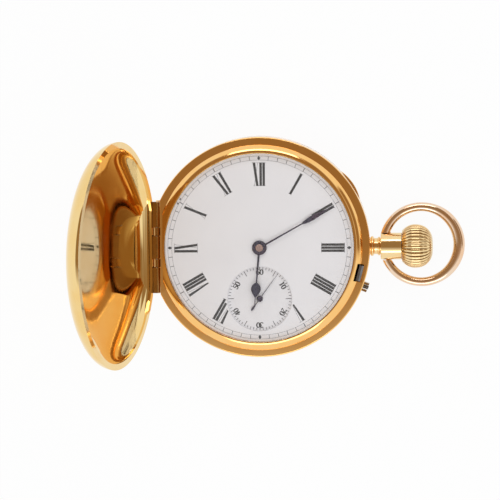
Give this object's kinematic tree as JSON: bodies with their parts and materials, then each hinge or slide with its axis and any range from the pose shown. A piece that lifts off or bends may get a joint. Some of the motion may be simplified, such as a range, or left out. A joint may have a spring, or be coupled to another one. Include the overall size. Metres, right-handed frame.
{
  "type": "hunter pocket watch",
  "caption": "Gold full hunter pocket watch with the front cover open, white enamel dial, sunk seconds, and a jointed lever movement inside.",
  "frame": {"origin": "middle of the flat on the back cover, which the watch rests on", "axes": "+Z out through the dial, +X along the pendant at three o'clock, +Y to twelve o'clock"},
  "size_m": [0.0859, 0.0502, 0.0544],
  "materials": {
    "gold": "polished",
    "gold_bow": "polished",
    "gilt": "satin",
    "steel": "polished",
    "dark_steel": "satin",
    "blued_steel": "polished",
    "enamel": "polished",
    "glass": "polished",
    "ruby": "polished"
  },
  "bodies": {
    "case": {"case_middle": "gold", "pendant": "gold", "bezel": "gold", "crystal": "glass", "dial": "enamel", "seconds_dial": "enamel", "lid_hinge_pin": "gold", "back_hinge_pin": "gold", "lift_spring": "steel", "pin_guards": "gold", "mainplate": "gilt", "barrel_bridge": "gilt", "train_bridge": "gilt", "balance_cock": "gilt", "pallet_cock": "gilt", "regulator": "steel", "bridge_screws": "blued_steel", "case_screws": "blued_steel", "jewels": "ruby", "click_spring": "steel", "crown_wheel_screw": "blued_steel"},
    "lid": {"front_lid": "gold"},
    "back": {"back_cover": "gold"},
    "dust_cover": {"cuvette": "gold"},
    "bow": {"bow": "gold_bow", "bow_pins": "gold"},
    "push_sleeve": {"crown_sleeve": "steel"},
    "crown": {"crown": "gold", "winding_stem": "steel"},
    "winding_pinion": {"winding_pinion": "steel"},
    "lock_spring": {"lock_spring": "dark_steel"},
    "set_pin": {"set_pin": "dark_steel"},
    "click": {"click": "steel"},
    "crown_wheel": {"crown_wheel": "steel"},
    "ratchet": {"ratchet_wheel": "steel", "ratchet_screw": "blued_steel", "barrel_arbor": "steel"},
    "barrel": {"barrel": "gilt", "mainspring": "dark_steel"},
    "minute": {"centre_wheel": "gilt", "centre_arbor": "steel", "cannon_pinion": "steel", "minute_hand": "blued_steel"},
    "hour": {"hour_wheel": "gilt", "hour_hand": "blued_steel"},
    "minute_wheel": {"minute_wheel": "gilt"},
    "third": {"third_wheel": "gilt", "third_pinion": "steel"},
    "fourth": {"fourth_wheel": "gilt", "fourth_pinion": "steel", "seconds_hand": "blued_steel"},
    "escape": {"escape_wheel": "gilt", "escape_pinion": "steel"},
    "lever": {"pallet_fork": "steel", "pallet_stones": "ruby"},
    "balance": {"balance_wheel": "gilt", "balance_staff": "steel", "roller": "steel", "hairspring": "blued_steel"}
  },
  "joints": [
    {"name": "lid_hinge", "type": "hinge", "parent": "case", "child": "lid", "pos_m": [-0.0234, 0, 0.00755], "axis": [0, 1, 0], "range_deg": [0, 104], "stiffness_Nm_per_rad": 0.0004, "springref_deg": -28.65},
    {"name": "back_hinge", "type": "hinge", "parent": "case", "child": "back", "pos_m": [-0.0234, 0, 0.0028], "axis": [0, 1, 0], "range_deg": [0, 100]},
    {"name": "cuvette_hinge", "type": "hinge", "parent": "case", "child": "dust_cover", "pos_m": [-0.0234, 0, 0.0028], "axis": [0, 1, 0], "range_deg": [0, 85]},
    {"name": "bow_swing", "type": "hinge", "parent": "case", "child": "bow", "pos_m": [0.02923, 0, 0.00532], "axis": [0, 1, 0], "range_deg": [-90, 90]},
    {"name": "crown_push", "type": "slide", "parent": "case", "child": "push_sleeve", "axis": [-1, 0, 0], "range_m": [0, 0.0007], "stiffness_N_per_m": 400},
    {"name": "crown_turn", "type": "hinge", "parent": "push_sleeve", "child": "crown", "pos_m": [0.03235, 0, 0.00532], "axis": [1, 0, 0], "continuous": true},
    {"name": "winding_pinion_turn", "type": "hinge", "parent": "case", "child": "winding_pinion", "pos_m": [0.01223, 0, 0.00532], "axis": [1, 0, 0], "continuous": true},
    {"name": "lock_spring_flex", "type": "slide", "parent": "case", "child": "lock_spring", "axis": [-0.9686, 0.2487, 0], "range_m": [0, 0.00045]},
    {"name": "set_pin_press", "type": "slide", "parent": "case", "child": "set_pin", "axis": [-0.9323, 0.3616, 0], "range_m": [0, 0.0009], "stiffness_N_per_m": 300},
    {"name": "click_rock", "type": "hinge", "parent": "case", "child": "click", "pos_m": [0.00129, 0.01468, 0.0034], "axis": [0, 0, 1], "range_deg": [0, 10], "stiffness_Nm_per_rad": 0.00002},
    {"name": "crown_wheel_turn", "type": "hinge", "parent": "case", "child": "crown_wheel", "pos_m": [0.00848, 0, 0.0034], "axis": [0, 0, 1], "continuous": true},
    {"name": "ratchet_turn", "type": "hinge", "parent": "case", "child": "ratchet", "pos_m": [0.0045, 0.00779, 0.0034], "axis": [0, 0, 1], "continuous": true},
    {"name": "seconds_turn", "type": "hinge", "parent": "case", "child": "fourth", "pos_m": [0, -0.01167, 0.0062], "axis": [0, 0, -1], "continuous": true},
    {"name": "minute_turn", "type": "hinge", "parent": "case", "child": "minute", "pos_m": [0, 0, 0.0062], "axis": [0, 0, -1], "continuous": true},
    {"name": "hour_turn", "type": "hinge", "parent": "case", "child": "hour", "pos_m": [0, 0, 0.0083], "axis": [0, 0, -1], "continuous": true},
    {"name": "minute_wheel_turn", "type": "hinge", "parent": "case", "child": "minute_wheel", "pos_m": [-0.0026, 0.0015, 0.0083], "axis": [0, 0, -1], "continuous": true},
    {"name": "barrel_turn", "type": "hinge", "parent": "case", "child": "barrel", "pos_m": [0.0045, 0.00779, 0.0062], "axis": [0, 0, -1], "continuous": true},
    {"name": "third_turn", "type": "hinge", "parent": "case", "child": "third", "pos_m": [0.00346, -0.00631, 0.0062], "axis": [0, 0, -1], "continuous": true},
    {"name": "escape_turn", "type": "hinge", "parent": "case", "child": "escape", "pos_m": [-0.00455, -0.01001, 0.0062], "axis": [0, 0, -1], "continuous": true},
    {"name": "balance_swing", "type": "hinge", "parent": "case", "child": "balance", "pos_m": [-0.01161, -0.00244, 0.0043], "axis": [0, 0, 1], "range_deg": [-24, 24], "stiffness_Nm_per_rad": 0.000003},
    {"name": "lever_rock", "type": "hinge", "parent": "case", "child": "lever", "pos_m": [-0.00636, -0.00807, 0.0062], "axis": [0, 0, 1], "range_deg": [-4.5, 4.5]}
  ],
  "couplings": [
    {"joint": "cuvette_hinge", "follows": "back_hinge", "ratio": 0.85},
    {"joint": "lock_spring_flex", "follows": "crown_push", "ratio": 0.6428},
    {"joint": "winding_pinion_turn", "follows": "crown_turn", "ratio": 1},
    {"joint": "crown_wheel_turn", "follows": "crown_turn", "ratio": 0.5},
    {"joint": "ratchet_turn", "follows": "crown_turn", "ratio": -0.375},
    {"joint": "minute_turn", "follows": "seconds_turn", "ratio": 0.016667},
    {"joint": "hour_turn", "follows": "seconds_turn", "ratio": 0.0013889},
    {"joint": "minute_wheel_turn", "follows": "seconds_turn", "ratio": -0.0055556},
    {"joint": "barrel_turn", "follows": "seconds_turn", "ratio": -0.0020833},
    {"joint": "third_turn", "follows": "seconds_turn", "ratio": -0.13333},
    {"joint": "escape_turn", "follows": "seconds_turn", "ratio": -10},
    {"joint": "lever_rock", "follows": "balance_swing", "ratio": -0.1846}
  ]
}
